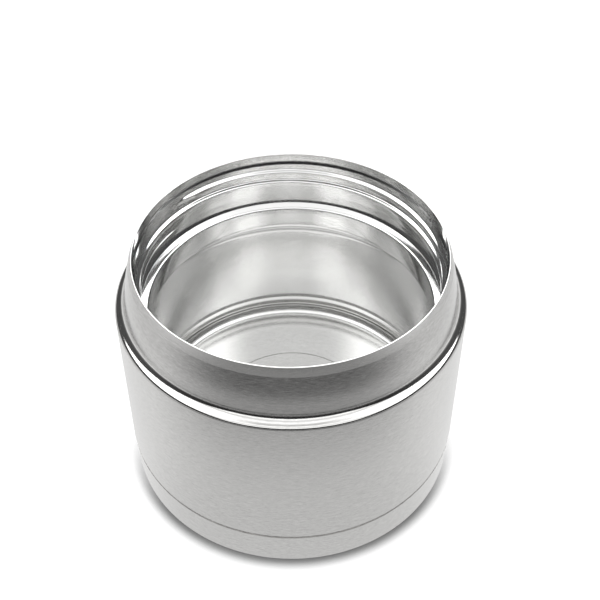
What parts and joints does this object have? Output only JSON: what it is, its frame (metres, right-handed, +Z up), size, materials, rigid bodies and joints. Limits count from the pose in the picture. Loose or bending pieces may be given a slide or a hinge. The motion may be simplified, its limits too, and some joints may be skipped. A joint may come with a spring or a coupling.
{
  "type": "insulated food jar",
  "caption": "Open double-wall steel food jar with a wide screw mouth, tapered neck, sloping shoulder, brushed body and a pressed base cup.",
  "frame": {"origin": "centre of the base, on the plane that the jar stands on", "axes": "+Z up along the jar's axis; +X to the right and -Y towards the viewer as pictured"},
  "size_m": [0.1156, 0.1156, 0.089],
  "materials": {
    "shell_steel": "fine brushing that runs round the body, polished ledge",
    "base_steel": "fine brushing that runs round the cup",
    "liner_steel": "polished mouth and thread, satin cavity wall",
    "floor_steel": "satin haze with turned rings",
    "hidden_steel": "mill finish",
    "copper_foil": "bright foil",
    "getter": "pressed metal powder",
    "clip_steel": "thin strip, mill finish",
    "seal_glass": "fused solder glass"
  },
  "bodies": {
    "root": {"outer_shell": "shell_steel", "outer_bottom": "hidden_steel", "base_cup": "base_steel", "inner_liner": "liner_steel", "inner_bottom": "floor_steel", "shield_wrap": "copper_foil", "shield_disc": "copper_foil", "getter_pill": "getter", "getter_clip": "clip_steel", "seal_glass": "seal_glass"}
  },
  "joints": []
}
